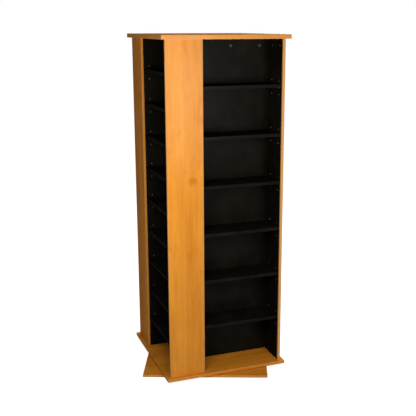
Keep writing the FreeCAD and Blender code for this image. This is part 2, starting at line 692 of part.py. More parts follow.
def makeCage():
    """Flat ring half-way between the plates, with a round pocket for each ball."""
    body = newBody("bearing_cage")
    ring = newSketch(body, "XY_Plane", f"{RACE_Z} - sizes.cage_thick / 2")
    circle(ring, ("0", "0"), f"{RACE_RADIUS} + sizes.cage_width / 2")
    circle(ring, ("0", "0"), f"{RACE_RADIUS} - sizes.cage_width / 2")
    pad(body, ring, "sizes.cage_thick")
    hole = newSketch(body, "XY_Plane", f"{RACE_Z} + sizes.cage_thick / 2")
    circle(hole, (RACE_RADIUS, "0"), "sizes.ball_radius + sizes.cage_fit")
    first = pocket(body, hole, "sizes.cage_thick")
    pockets = body.newObject("PartDesign::PolarPattern", "Pockets")
    pockets.Originals = [first]
    pockets.Axis = (hole, ["N_Axis"])
    pockets.Angle = 360
    pockets.setExpression("Occurrences", "sizes.ball_count")
    body.Tip = pockets
    doc.recompute()


def makeBalls():
    ball = solid("Sphere", "BallPattern", (RACE_RADIUS, "0", RACE_Z), Radius="sizes.ball_radius")
    doc.recompute()
    count = int(size("sizes.ball_count"))
    group("bearing_balls", ball, [FreeCAD.Placement(Vector(), turn(UP, 360 * number / count))
                                  for number in range(count)])


def makePlateScrews():
    """Screws with their heads in the gap between the plates: down into the base, up into the deck."""
    shared = "sizes.plate_sheet + sizes.screw_head_height"
    down = makeScrewPattern("PlateScrew", f"{PLATE_GRIP} + {shared}")
    up = makeScrewPattern("DeckScrew", f"{DECK_GRIP} + {shared}")
    lowHead = size(f"{RECESS_Z} + {shared}")
    highHead = size(f"{DECK_Z} - ({shared})")
    over = turn(Vector(1, 0, 0), 180)
    lowPlaces = []
    highPlaces = []
    for across, along in quarterTurns(PLATE_HOLE, PLATE_HOLE):
        point = Vector(size(across), size(along), 0)
        lowPlaces.append(FreeCAD.Placement(point + UP * lowHead, over))
        highPlaces.append(FreeCAD.Placement(point + UP * highHead, FreeCAD.Rotation()))
    group("base_plate_screws", down, lowPlaces, basePlacement())
    group("deck_plate_screws", up, highPlaces)


# --- Build ---

makeBaseBoard()
makeBearingPlates()
makeCage()
makeBalls()
makePlateScrews()
makeBottomPanel()
makeTopPanel()
makePanelScrews()
pegPattern = makePegPattern()
for bay in BAYS:
    makeBackPanel(bay)
    makeSidePanel(bay)
    shelves = int(size(f"sizes.{KIND[bay]}_shelves"))
    for number in range(1, shelves + 1):
        makeShelf(bay, number, f"{bay}_bay_shelf_{number}")
    makePegs(bay, pegPattern)
makeDowels()
makeCams()

doc.recompute()
for item in doc.Objects:
    if "Invalid" in item.State or "Error" in item.State:
        raise RuntimeError(f"{item.Label} failed: {item.State}")
for name, item in parts.items():
    if item.Shape.isNull() or not item.Shape.isValid():
        raise RuntimeError(f"{name} has no valid shape")

os.makedirs("parts", exist_ok=True)
for name, item in parts.items():
    item.Shape.exportStep(os.path.join("parts", f"{name}.step"))
    print(f"{name}: {len(item.Shape.Solids)} solids, {item.Shape.Volume / 1000:.1f} cm3")
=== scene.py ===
import math

import bpy
import numpy as np
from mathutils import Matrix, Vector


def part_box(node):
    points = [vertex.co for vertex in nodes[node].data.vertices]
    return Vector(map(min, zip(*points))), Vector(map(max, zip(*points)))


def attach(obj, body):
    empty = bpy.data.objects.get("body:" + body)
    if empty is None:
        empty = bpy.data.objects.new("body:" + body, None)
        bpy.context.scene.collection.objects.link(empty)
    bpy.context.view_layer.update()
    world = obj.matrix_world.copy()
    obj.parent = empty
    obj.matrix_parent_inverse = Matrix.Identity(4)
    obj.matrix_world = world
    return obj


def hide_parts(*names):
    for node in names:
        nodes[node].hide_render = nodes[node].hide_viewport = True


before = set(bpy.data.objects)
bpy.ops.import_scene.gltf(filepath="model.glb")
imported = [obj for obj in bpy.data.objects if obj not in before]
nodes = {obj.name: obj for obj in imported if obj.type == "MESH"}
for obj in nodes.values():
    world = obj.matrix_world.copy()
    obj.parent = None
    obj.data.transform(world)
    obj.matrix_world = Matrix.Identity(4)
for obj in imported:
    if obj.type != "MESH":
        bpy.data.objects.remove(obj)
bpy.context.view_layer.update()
scene = bpy.context.scene
print("frame loaded:", len(nodes), "nodes")

# places that everything else is worked out from, in metres, for the front bay
bays = ("front", "right", "back", "left")  # counter-clockwise from above, a quarter turn apart
backLow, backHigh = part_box("front_bay_back_panel")
sideLow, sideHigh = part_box("front_bay_side_panel")
tower = {
    "half": backHigh.x,                            # half the body's width
    "face": sideLow.y,                             # the front of the bay
    "back": backLow.y,                             # the back panel's face in the bay
    "wallLeft": backLow.x,
    "wallRight": sideLow.x,
    "floor": backLow.z,
    "roof": backHigh.z,
    "backMiddle": (backLow.y + backHigh.y) / 2,    # middle of the back panel's thickness
    "sideMiddle": (sideLow.x + sideHigh.x) / 2,    # and of the side panel's
}
baseTurn = 21.5  # degrees, clockwise from above: how far the base board stands turned


def turnToBay(points, bay):
    # a quarter turn counter-clockwise for each bay after the front one
    quarters = bays.index(bay)
    c, s = ((1, 0), (0, 1), (-1, 0), (0, -1))[quarters]
    points = np.asarray(points, float)
    x, y = points[..., 0], points[..., 1]
    return np.stack([c * x - s * y, s * x + c * y, points[..., 2]], axis=-1)


cameraSettings = {
    "place": (-1.2315, -3.4862, 1.6967),
    "lookDown": 13.79,     # degrees below the horizon
    "lookRight": 20.85,    # degrees clockwise from +Y
    "lens": 64.48,         # mm
    "sensor": 36,          # mm wide
    "imageSize": 416,      # pixels
    "axisPixel": 224.0,    # where the lens points, across the image
    "clip": (0.05, 200),   # metres, the nearest and the farthest thing shown
}


def makeCamera(settings):
    data = bpy.data.cameras.new("camera")
    data.lens = settings["lens"]
    data.sensor_width = settings["sensor"]
    data.shift_x = (settings["imageSize"] / 2 - settings["axisPixel"]) / settings["imageSize"]
    data.clip_start, data.clip_end = settings["clip"]
    camera = bpy.data.objects.new("camera", data)
    camera.location = settings["place"]
    tilt = math.radians(90 - settings["lookDown"])
    camera.rotation_euler = (tilt, 0, -math.radians(settings["lookRight"]))
    scene.collection.objects.link(camera)
    scene.camera = camera


makeCamera(cameraSettings)
print("camera placed")


# shader helpers: inputs are given by name or number, as a value or as another node's output

bevelSamples = 4
noiseSpan = (0.3, 0.7)    # a noise's values lie between these, nearly all of them
facesAlong = 0.7          # a face looks along a direction where its normal's share of it is over this
facesAcross = 0.5         # and across it where the share is under this


def addNode(tree, kind, inputs=None, **settings):
    made = tree.nodes.new("ShaderNode" + kind)
    for name, value in settings.items():
        setattr(made, name, value)
    for name, value in (inputs or {}).items():
        if isinstance(value, bpy.types.NodeSocket):
            tree.links.new(value, made.inputs[name])
        else:
            made.inputs[name].default_value = value
    return made


def mathOf(tree, operation, *values, clamp=False):
    inputs = dict(enumerate(values))
    return addNode(tree, "Math", inputs, operation=operation, use_clamp=clamp).outputs[0]


def vectorOf(tree, operation, *values):
    made = addNode(tree, "VectorMath", dict(enumerate(values)), operation=operation)
    return made.outputs["Value" if operation in ("DOT_PRODUCT", "LENGTH") else "Vector"]


def noiseOf(tree, vector, stretch, detail=2.0, roughness=0.5):
    # stretch is how many features fit in a metre along each axis
    vector = vectorOf(tree, "MULTIPLY", vector, stretch)
    inputs = {"Vector": vector, "Scale": 1.0, "Detail": detail, "Roughness": roughness}
    return addNode(tree, "TexNoise", inputs).outputs[0]


def rangeOf(tree, value, low, high, toLow=0.0, toHigh=1.0, smooth=False):
    inputs = {"Value": value, "From Min": low, "From Max": high, "To Min": toLow, "To Max": toHigh}
    kind = "SMOOTHSTEP" if smooth else "LINEAR"
    return addNode(tree, "MapRange", inputs, interpolation_type=kind, clamp=True).outputs[0]


def mixColours(tree, factor, first, second):
    return addNode(tree, "Mix", {0: factor, 6: first, 7: second}, data_type="RGBA").outputs[2]


def mixVectors(tree, factor, first, second):
    return addNode(tree, "Mix", {0: factor, 4: first, 5: second}, data_type="VECTOR").outputs[1]


def mixNumbers(tree, factor, first, second):
    return addNode(tree, "Mix", {0: factor, 2: first, 3: second}, data_type="FLOAT").outputs[0]


def weightedSum(tree, start, parts):
    total = start
    for value, weight in parts:
        total = mathOf(tree, "MULTIPLY_ADD", value, weight, total)
    return total


lacquerSettings = {"Specular IOR Level": 0.0, "Coat IOR": 3.0, "Coat Roughness": 0.24}


def newMaterial(name, constants):
    material = bpy.data.materials.new(name)
    material.use_nodes = True
    tree = material.node_tree
    tree.nodes.clear()
    shader = addNode(tree, "BsdfPrincipled", constants)
    addNode(tree, "OutputMaterial", {"Surface": shader.outputs[0]})
    return material, tree, shader


def finishMaterial(tree, shader, colour, roughness, height, depth, normal=None, gloss=None):
    # height is 0..1, depth how deep that is in metres, gloss the weight of the lacquer
    inputs = {"Height": height, "Strength": 1.0, "Distance": depth}
    if normal is not None:
        inputs["Normal"] = normal
    bump = addNode(tree, "Bump", inputs)
    tree.links.new(bump.outputs[0], shader.inputs["Normal"])
    if gloss is not None:
        tree.links.new(gloss, shader.inputs["Coat Weight"])
        tree.links.new(bump.outputs[0], shader.inputs["Coat Normal"])
    tree.links.new(colour, shader.inputs["Base Color"])
    tree.links.new(roughness, shader.inputs["Roughness"])


def setMaterial(piece, material):
    materials = piece.data.materials
    if not len(materials):
        materials.append(material)
    for number in range(len(materials)):
        materials[number] = material


def roundedEdges(tree, settings):
    # the rounded normal, and a mask that is 1 on edges, where it leans from the true normal
    rounded = addNode(tree, "Bevel", {"Radius": settings["edgeWidth"]}, samples=bevelSamples).outputs[0]
    true = addNode(tree, "NewGeometry").outputs["True Normal"]
    lean = mathOf(tree, "SUBTRACT", 1.0, vectorOf(tree, "DOT_PRODUCT", rounded, true))
    return rounded, rangeOf(tree, lean, *settings["edgeLean"])


def edgeWearAndHighlight(tree, place, edges, stretch, settings):
    # how pale the edges are, in patches: on the wood this is partly wear and partly a painted highlight, on
    # the black it is wear
    patches = rangeOf(tree, noiseOf(tree, place, stretch), *settings["edgeNoiseRange"], *settings["edgeShare"])
    return mathOf(tree, "MULTIPLY", edges, patches)


bareSettings = {
    "light": (0.50, 0.36, 0.20, 1),
    "dark": (0.24, 0.15, 0.07, 1),
    "flakes": 700,       # chips in a metre
    "rind": 0.0011,      # metres, depth of the skin at a hole, then bare board
    "roughness": 0.9,
}


def insideBoard(tree, place, low, high, axes):
    # 1 where a point lies deeper than the rind below the board's faces: the walls of its holes
    above = vectorOf(tree, "SUBTRACT", place, tuple(low))
    below = vectorOf(tree, "SUBTRACT", tuple(high), place)
    least = addNode(tree, "SeparateXYZ", {0: vectorOf(tree, "MINIMUM", above, below)})
    depth = least.outputs[axes[0]]
    for axis in axes[1:]:
        depth = mathOf(tree, "MINIMUM", depth, least.outputs[axis])
    return mathOf(tree, "GREATER_THAN", depth, bareSettings["rind"])


def showChips(tree, place, low, high, axes, colour, roughness, settings=bareSettings):
    # pressed wood chips, seen in the holes: cells of random tone
    bare = insideBoard(tree, place, low, high, axes)
    cells = addNode(tree, "TexVoronoi", {"Vector": place, "Scale": settings["flakes"]})
    tone = addNode(tree, "SeparateColor", {0: cells.outputs["Color"]}).outputs[0]
    chips = mixColours(tree, tone, settings["dark"], settings["light"])
    return mixColours(tree, bare, colour, chips), mixNumbers(tree, bare, roughness, settings["roughness"])


woodSettings = {
    "light": (0.75, 0.293, 0.031, 1),
    "dark": (0.49, 0.152, 0.006, 1),
    "pore": (0.38, 0.100, 0.004, 1),
    "tape": (0.63, 0.330, 0.115, 1),
    # pale colour of the edges: partly wear, partly a painted highlight along them
    "wornAndHighlight": (0.88, 0.50, 0.22, 1),
    "edgeWidth": 0.0022,           # metres, how far the edges are rounded and paled, partly by wear and partly by a painted highlight
    "edgeLean": (0.008, 0.06),     # lean of the rounded normal at which that starts and is full
    "edgeNoiseRange": (0.35, 0.65),     # values of the noise between which the paleness changes,
    "edgeShare": (0.30, 0.90),     # from the least to the most
    "leaf": 0.0835,                # metres, width of the leaves of veneer in the print
    "roughness": 0.60,
    "roughnessSpread": 0.12,
    "lacquer": 0.030,              # weight of the gloss
    "lacquerSpread": (0.8, 1.2),   # times that, from place to place
    "wrap": 0.0100,                # how far the front edges' tape wraps round onto the black faces
    "depth": 0.00006,              # metres, relief of the printed grain
}

grainSettings = {
    # features in a metre across, through and along the grain
    "sway": (5, 5, 1.1),
    "broad": (24, 24, 1.8),
    "bands": (60, 60, 1.3),
    "mottle": (28, 28, 11),
    "hills": (9, 9, 0.7),
    "streaks": (330, 330, 6),
    "pores": (900, 900, 26),
    "clouds": (17, 17, 9),
    "seedSteps": (3.17, 1.91, 7.3),   # metres in the pattern from one seed to the next
    "swayWidth": 0.05,                # metres that the lines wander
    "ringTurns": 16.0,                # how often the tone turns back from a hill's foot to its top
    "poreRange": (0.60, 0.72),        # values of the noise at which pores start and are full
    "cloudRange": (0.58, 0.80),
    "leafStep": 0.618,                # in a leaf's tone, from leaf to leaf
    "leafSeedStep": 0.37,             # and from seed to seed
    # what each adds to the tone, which is 0 for the wood's dark colour and 1 for its light one
    "weights": {"broad": 0.70, "bands": 0.42, "mottle": 0.45, "rings": 0.12, "streaks": 0.45, "leaf": 0.34},
    "cloudWeight": -0.45,
    "poreShare": 0.30,                # how strongly the pores' own colour shows
    "reliefShare": 0.5,               # of streaks and of pores in the relief
}

knotSettings = {
    "stretch": (34, 34, 44),     # knots that would fit in a metre
    "ragged": (60, 60, 35),      # features of its ragged edge in a metre
    "raggedness": 1.3,
    "reach": 1.2,                # how far it fades out, in its own radii
    "tone": 0.66,                # how much darker its middle is
}


def knotShade(tree, vector, place, settings=knotSettings):
    # darkest at the knot's place, and 0 away from it
    away = vectorOf(tree, "MULTIPLY", vectorOf(tree, "SUBTRACT", vector, place), settings["stretch"])
    ragged = noiseOf(tree, vector, settings["ragged"], detail=3.0)
    ragged = mathOf(tree, "MULTIPLY_ADD", ragged, settings["raggedness"], -settings["raggedness"] / 2)
    reach = mathOf(tree, "ADD", vectorOf(tree, "LENGTH", away), ragged)
    return rangeOf(tree, reach, 0.0, settings["reach"], settings["tone"], 0.0, smooth=True)


def woodGrain(tree, vector, seed, knot=None, wood=woodSettings, grain=grainSettings):
    # vector's first number runs across the grain and its third along it, in metres; knot is a place in it;
    # returns the colour, the pores and the relief
    shifted = vectorOf(tree, "ADD", vector, tuple(seed * step for step in grain["seedSteps"]))
    sway = noiseOf(tree, shifted, grain["sway"], detail=1.0)
    sway = mathOf(tree, "MULTIPLY_ADD", sway, grain["swayWidth"], -grain["swayWidth"] / 2)
    bent = vectorOf(tree, "ADD", shifted, addNode(tree, "CombineXYZ", {0: sway, 1: sway}).outputs[0])
    tones = {
        "broad": noiseOf(tree, bent, grain["broad"]),
        "bands": noiseOf(tree, bent, grain["bands"]),
        "mottle": noiseOf(tree, bent, grain["mottle"], detail=3.0),
    }
    hills = mathOf(tree, "MULTIPLY", noiseOf(tree, bent, grain["hills"], detail=1.0), grain["ringTurns"])
    tones["rings"] = mathOf(tree, "PINGPONG", hills, 1.0)
    tones["streaks"] = noiseOf(tree, bent, grain["streaks"], detail=3.0, roughness=0.65)
    pores = rangeOf(tree, noiseOf(tree, bent, grain["pores"], detail=1.0), *grain["poreRange"])
    clouds = noiseOf(tree, shifted, grain["clouds"], detail=3.0, roughness=0.6)
    clouds = rangeOf(tree, clouds, *grain["cloudRange"], smooth=True)

    across = mathOf(tree, "ADD", addNode(tree, "SeparateXYZ", {0: vector}).outputs[0], tower["half"])
    leaf = mathOf(tree, "FLOOR", mathOf(tree, "DIVIDE", across, wood["leaf"]))
    leaf = mathOf(tree, "MULTIPLY_ADD", leaf, grain["leafStep"], seed * grain["leafSeedStep"])
    tones["leaf"] = mathOf(tree, "FRACT", leaf)

    parts = [(tones[name], weight) for name, weight in grain["weights"].items()]
    middle = 0.5 - 0.5 * sum(grain["weights"].values())
    tone = weightedSum(tree, middle, parts + [(clouds, grain["cloudWeight"])])
    if knot is not None:
        tone = mathOf(tree, "SUBTRACT", tone, knotShade(tree, vector, knot))
    colour = mixColours(tree, rangeOf(tree, tone, 0.0, 1.0), wood["dark"], wood["light"])
    colour = mixColours(tree, mathOf(tree, "MULTIPLY", pores, grain["poreShare"]), colour, wood["pore"])
    share = grain["reliefShare"]
    relief = weightedSum(tree, 0.5, ((tones["streaks"], share), (pores, -share)))
    return colour, pores, relief


def woodRoughness(tree, smudge, pores, wood=woodSettings):
    spread = wood["roughnessSpread"]
    return weightedSum(tree, wood["roughness"] - spread / 2, ((smudge, spread), (pores, spread)))


blackSettings = {
    "colour": (0.0062, 0.0052, 0.0032, 1),
    "dust": (0.0120, 0.0106, 0.0080, 1),
    "dustRange": (0.45, 0.80),
    "wornAndHighlight": (0.03, 0.027, 0.024, 1),
    "edgeWidth": 0.0012,
    "edgeLean": (0.02, 0.25),
    "edgeNoiseRange": (0.45, 0.65),
    "edgeShare": (0.1, 0.6),
    "edgePatches": (80, 80, 80),   # in a metre
    "strokes": (500, 500, 60),     # of the embossed grain, in a metre
    "film": (9, 9, 6),             # patches of dust in a metre
    "roughness": 0.60,
    "glossier": 0.06,              # at one end of the film's span, and duller at the other
    "duller": 0.08,
    "lacquer": 0.007,
    "depth": 0.00005,              # metres, relief of the embossed grain
    "rind": 0.0004,                # the black skin is this thick at a panel's edge
}


def blackSkin(tree, place, settings=blackSettings):
    # embossed short strokes, and a thin uneven film of dust
    strokes = noiseOf(tree, place, settings["strokes"], roughness=0.7)
    film = noiseOf(tree, place, settings["film"], detail=4.0, roughness=0.65)
    dusty = rangeOf(tree, film, *settings["dustRange"])
    colour = mixColours(tree, dusty, settings["colour"], settings["dust"])
    glossy, dull = settings["roughness"] - settings["glossier"], settings["roughness"] + settings["duller"]
    return colour, rangeOf(tree, film, *noiseSpan, glossy, dull), strokes


def blackFacesMask(tree, place, bay, faces):
    # 1 on the faces given by normal and offset
    black = 0.0
    for normal, offset in faces:
        reach = vectorOf(tree, "DOT_PRODUCT", place, tuple(turnToBay(normal, bay)))
        onFace = mathOf(tree, "GREATER_THAN", reach, offset - blackSettings["rind"])
        black = mathOf(tree, "MAXIMUM", black, onFace)
    return black


panelSettings = {
    "smudges": (7, 7, 5),         # in a metre
    "edgePatches": (60, 60, 25),
    "backTape": 0.15,             # how much of the tape's colour the front edges show
    "sideTape": 0.80,
    "sideSeeds": {"front": 5, "right": 6, "back": 9, "left": 8},   # picked for their leaves' tones
    "knots": {"left": (-0.166, -0.2915, 0.996)},                   # on the side panel, in metres
}


def makeUpright(node, bay, blackFaces, frontNormal, tapeShare, seed, knot=None, settings=panelSettings):
    # an upright panel: grain along Z, black on the faces given by normal and offset, and tape on its
    # front edge, which wraps a little way round onto the black faces
    wood = woodSettings
    low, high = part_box(node)
    material, tree, shader = newMaterial("laminate_" + node, lacquerSettings)
    coordinates = addNode(tree, "TexCoord")
    place = coordinates.outputs["Object"]
    rounded, edges = roundedEdges(tree, wood)
    grained = place
    if high.y - low.y > high.x - low.x:
        x, y, z = addNode(tree, "SeparateXYZ", {0: place}).outputs
        grained = addNode(tree, "CombineXYZ", {0: y, 1: x, 2: z}).outputs[0]
    colour, pores, relief = woodGrain(tree, grained, seed, knot)

    front = tuple(turnToBay(frontNormal, bay))
    black = blackFacesMask(tree, place, bay, blackFaces)
    reach = vectorOf(tree, "DOT_PRODUCT", place, front)
    behind = mathOf(tree, "LESS_THAN", reach, tower["half"] - wood["wrap"])
    wrapped = mathOf(tree, "SUBTRACT", black, behind, clamp=True)
    black = mathOf(tree, "MULTIPLY", black, behind)
    facing = vectorOf(tree, "DOT_PRODUCT", coordinates.outputs["Normal"], front)
    onTape = mathOf(tree, "GREATER_THAN", facing, facesAlong)
    onTape = mathOf(tree, "MAXIMUM", onTape, wrapped)
    colour = mixColours(tree, mathOf(tree, "MULTIPLY", onTape, tapeShare), colour, wood["tape"])

    smudge = noiseOf(tree, place, settings["smudges"], detail=3.0)
    roughness = woodRoughness(tree, smudge, pores)
    # the pale edges: partly wear, partly a painted highlight along them
    wornAndHighlight = edgeWearAndHighlight(tree, place, edges, settings["edgePatches"], wood)
    colour = mixColours(tree, wornAndHighlight, colour, wood["wornAndHighlight"])

    blackColour, blackRoughness, strokes = blackSkin(tree, place)
    colour = mixColours(tree, black, colour, blackColour)
    roughness = mixNumbers(tree, black, roughness, blackRoughness)
    relief = mixNumbers(tree, black, relief, strokes)
    gloss = mixNumbers(tree, black, wood["lacquer"], blackSettings["lacquer"])
    gloss = mathOf(tree, "MULTIPLY", gloss, rangeOf(tree, smudge, *noiseSpan, *wood["lacquerSpread"]))

    colour, roughness = showChips(tree, place, low, high, (0, 1), colour, roughness)
    finishMaterial(tree, shader, colour, roughness, relief, wood["depth"], rounded, gloss)
    setMaterial(nodes[node], material)


boardSettings = {
    "smudges": (6, 6, 6),        # in a metre
    "edgePatches": (40, 40, 40),
    # each board's seed, how pale its edges are, and how far it stands turned
    "boards": {
        "top_panel": (11, 0.19, 0.0),
        "bottom_panel": (12, 0.0, 0.0),
        "base_board": (13, 0.19, baseTurn),
    },
}


def makeBoard(node, seed, paleEdge, turn, settings=boardSettings):
    # a square board: grain along X, and on the two edges across it the tape's grain runs along Y
    wood = woodSettings
    material, tree, shader = newMaterial("laminate_" + node, lacquerSettings)
    coordinates = addNode(tree, "TexCoord")
    spin = (0, 0, math.radians(turn))
    inputs = {"Vector": coordinates.outputs["Object"], "Rotation": spin}
    place = addNode(tree, "Mapping", inputs).outputs[0]
    inputs = {"Vector": coordinates.outputs["Normal"], "Rotation": spin}
    facing = addNode(tree, "Mapping", inputs, vector_type="VECTOR").outputs[0]
    across, _, upward = addNode(tree, "SeparateXYZ", {0: facing}).outputs
    acrossEdge = mathOf(tree, "GREATER_THAN", mathOf(tree, "ABSOLUTE", across), facesAlong)
    onEdge = mathOf(tree, "LESS_THAN", mathOf(tree, "ABSOLUTE", upward), facesAcross)
    x, y, z = addNode(tree, "SeparateXYZ", {0: place}).outputs
    alongX = addNode(tree, "CombineXYZ", {0: y, 1: z, 2: x}).outputs[0]
    alongY = addNode(tree, "CombineXYZ", {0: x, 1: z, 2: y}).outputs[0]
    colour, pores, relief = woodGrain(tree, mixVectors(tree, acrossEdge, alongX, alongY), seed)
    colour = mixColours(tree, mathOf(tree, "MULTIPLY", onEdge, paleEdge), colour, wood["wornAndHighlight"])

    rounded, edges = roundedEdges(tree, wood)
    smudge = noiseOf(tree, place, settings["smudges"], detail=3.0)
    roughness = woodRoughness(tree, smudge, pores)
    least, most = (wood["lacquer"] * times for times in wood["lacquerSpread"])
    gloss = rangeOf(tree, smudge, *noiseSpan, least, most)
    # the pale edges: partly wear, partly a painted highlight along them
    wornAndHighlight = edgeWearAndHighlight(tree, place, edges, settings["edgePatches"], wood)
    colour = mixColours(tree, wornAndHighlight, colour, wood["wornAndHighlight"])

    low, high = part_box(node)
    if turn:
        # a turned square's box is as wide as its side times the sum of the turn's cosine and sine
        angle = math.radians(turn)
        half = (high.x - low.x) / 2 / (math.cos(angle) + math.sin(angle))
        low, high = (-half, -half, low.z), (half, half, high.z)
    colour, roughness = showChips(tree, place, low, high, (0, 1, 2), colour, roughness)
    finishMaterial(tree, shader, colour, roughness, relief, wood["depth"], rounded, gloss)
    setMaterial(nodes[node], material)


def makeShelfMaterial(settings=blackSettings):
    # one black for all shelves, which are never cut into
    constants = {**lacquerSettings, "Coat Weight": settings["lacquer"]}
    material, tree, shader = newMaterial("shelf_black", constants)
    place = addNode(tree, "TexCoord").outputs["Object"]
    rounded, edges = roundedEdges(tree, settings)
    colour, roughness, strokes = blackSkin(tree, place)
    wornAndHighlight = edgeWearAndHighlight(tree, place, edges, settings["edgePatches"], settings)
    colour = mixColours(tree, wornAndHighlight, colour, settings["wornAndHighlight"])
    finishMaterial(tree, shader, colour, roughness, strokes, settings["depth"], rounded)
    return material


def finishBoards(panels=panelSettings):
    # a back panel's rear face is the left wall of the next bay
    bothFaces = (((0, -1, 0), -tower["back"]), ((0, 1, 0), tower["wallLeft"]))
    innerFace = (((-1, 0, 0), -tower["wallRight"]),)
    for number, bay in enumerate(bays, start=1):
        makeUpright(f"{bay}_bay_back_panel", bay, bothFaces, (1, 0, 0), panels["backTape"], number)
        makeUpright(f"{bay}_bay_side_panel", bay, innerFace, (0, -1, 0), panels["sideTape"],
                    panels["sideSeeds"][bay], panels["knots"].get(bay))
    for name, (seed, paleEdge, turn) in boardSettings["boards"].items():
        makeBoard(name, seed, paleEdge, turn)
    shelfBlack = makeShelfMaterial()
    for name, piece in nodes.items():
        if "_shelf_" in name and not name.endswith("supports"):
            setMaterial(piece, shelfBlack)


finishBoards()
print("boards and shelves finished")


metalSettings = {
    "edgeWidth": 0.0004,           # metres
    "edgeLean": (0.02, 0.25),
    "wornAndHighlight": (0.75, 0.75, 0.76, 1),
    "edgeShare": 0.4,
    "patchRange": (0.35, 0.65),
    "scratches": (12, 2, 6),       # times the patches, along each axis
    "roughnessSpread": 0.1,
    "depth": 0.00002,              # metres, of the scratches
}

# patches is how many fit in a metre
metals = {
    "zinc_plate": {
        "light": (0.56, 0.57, 0.58, 1), "dull": (0.38, 0.39, 0.40, 1), "roughness": 0.38,
        "patches": 260,
    },
    "cast_zinc": {
        "light": (0.060, 0.058, 0.056, 1), "dull": (0.030, 0.029, 0.028, 1), "roughness": 0.60,
        "patches": 500,
    },
    "ball_steel": {
        "light": (0.62, 0.62, 0.63, 1), "dull": (0.55, 0.55, 0.56, 1), "roughness": 0.18,
        "patches": 900,
    },
}


def makeMetal(name, settings=metalSettings):
    # bright and dull patches, and fine scratches in the gloss
    metal = metals[name]
    material, tree, shader = newMaterial(name, {"Metallic": 1.0})
    place = addNode(tree, "TexCoord").outputs["Object"]
    count = metal["patches"]
    patches = noiseOf(tree, place, (count, count, count), detail=3.0, roughness=0.6)
    scratches = noiseOf(tree, place, tuple(count * times for times in settings["scratches"]))
    rounded, edges = roundedEdges(tree, settings)
    bright = rangeOf(tree, patches, *settings["patchRange"])
    colour = mixColours(tree, bright, metal["dull"], metal["light"])
    wornAndHighlight = mathOf(tree, "MULTIPLY", edges, settings["edgeShare"])
    colour = mixColours(tree, wornAndHighlight, colour, settings["wornAndHighlight"])
    spread = settings["roughnessSpread"]
    shine = weightedSum(tree, metal["roughness"] - spread, ((patches, spread), (scratches, spread)))
    finishMaterial(tree, shader, colour, shine, scratches, settings["depth"], rounded)
    return material


plainSettings = {
    "roughnessSpread": 0.1,
    "depth": 0.00003,     # metres, relief of the streaks
}

# streaks is how many fit in a metre
plains = {
    "cage_plastic": {
        "light": (0.72, 0.71, 0.66, 1), "dark": (0.60, 0.59, 0.54, 1), "roughness": 0.5,
        "streaks": 120, "specular": 0.4,
    },
    "beech": {
        "light": (0.62, 0.42, 0.24, 1), "dark": (0.45, 0.28, 0.14, 1), "roughness": 0.7,
        "streaks": 900, "specular": 0.2,
    },
}


def makePlain(name, settings=plainSettings):
    # a dull material of two tones
    plain = plains[name]
    material, tree, shader = newMaterial(name, {"Specular IOR Level": plain["specular"]})
    place = addNode(tree, "TexCoord").outputs["Object"]
    count = plain["streaks"]
    streaks = noiseOf(tree, place, (count, count, count), detail=3.0, roughness=0.65)
    colour = mixColours(tree, rangeOf(tree, streaks, *noiseSpan), plain["dark"], plain["light"])
    spread = settings["roughnessSpread"]
    roughness = weightedSum(tree, plain["roughness"] - spread / 2, ((streaks, spread),))
    finishMaterial(tree, shader, colour, roughness, streaks, settings["depth"])
    return material


zincPlate = makeMetal("zinc_plate")
beech = makePlain("beech")


def finishFittings():
    finishes = {
        "bearing_lower_plate": zincPlate,
        "bearing_upper_plate": zincPlate,
        "cam_locks": makeMetal("cast_zinc"),
        "bearing_balls": makeMetal("ball_steel"),
        "bearing_cage": makePlain("cage_plastic"),
    }
    for name, material in finishes.items():
        setMaterial(nodes[name], material)


finishFittings()
print("fittings finished")


# pins, screws, bolts and dowels: closed surfaces of rings, written in mm and made in metres

millimetres = 1000        # in a metre
sharpFrom = 35            # degrees between two faces, from which the edge between them is sharp


def ringFaces(rings, around):
    # quads between neighbouring rings, and a fan of triangles from a pole to the ring at each end
    ring = np.arange(rings * around).reshape(rings, around)
    beside = np.roll(ring, -1, axis=1)
    quads = np.stack([ring[:-1], beside[:-1], beside[1:], ring[1:]], axis=-1).reshape(-1, 4)
    first, last = rings * around, rings * around + 1
    firstFan = np.stack([np.full(around, first), beside[0], ring[0]], axis=-1)
    lastFan = np.stack([np.full(around, last), ring[-1], beside[-1]], axis=-1)
    return quads, np.concatenate([firstFan, lastFan])


def ringShape(heights, radii, angles, firstPole, lastPole):
    # rings about Z: a point is radius times the cosine and sine of its angle, at its ring's height
    heights, radii = np.broadcast_arrays(heights, radii)
    grid = np.stack([radii * np.cos(angles), radii * np.sin(angles), heights], axis=-1)
    points = np.concatenate([grid.reshape(-1, 3), [(0, 0, firstPole), (0, 0, lastPole)]])
    return points / millimetres, *ringFaces(*radii.shape)


pinSettings = {
    # along the pin, half its width, its underside, its top, and how square its section is
    "rings": (
        (-7.5, 1.7, -1.7, 1.7, 2.0),   # the end in its hole
        (-6.9, 2.5, -2.5, 2.5, 2.0),
        (0.0, 2.5, -2.5, 2.5, 2.0),
        (0.05, 3.5, -2.5, 2.5, 2.6),   # the collar on the wall
        (1.0, 3.5, -2.5, 2.5, 2.6),
        (1.1, 3.2, -1.6, 2.5, 4.0),    # the flat spoon that the shelf lies on
        (4.5, 3.5, 0.1, 2.5, 5.0),
        (7.0, 3.3, 0.8, 2.5, 5.0),
        (8.4, 2.2, 1.1, 2.45, 4.0),
        (9.0, 1.0, 1.5, 2.2, 3.0),
    ),
    "around": 12,
    "fromEdge": 0.040,   # metres, from the front and the back of the opening
    "drop": 0.0025,      # metres, from the shelf's underside to the hole's centre
}


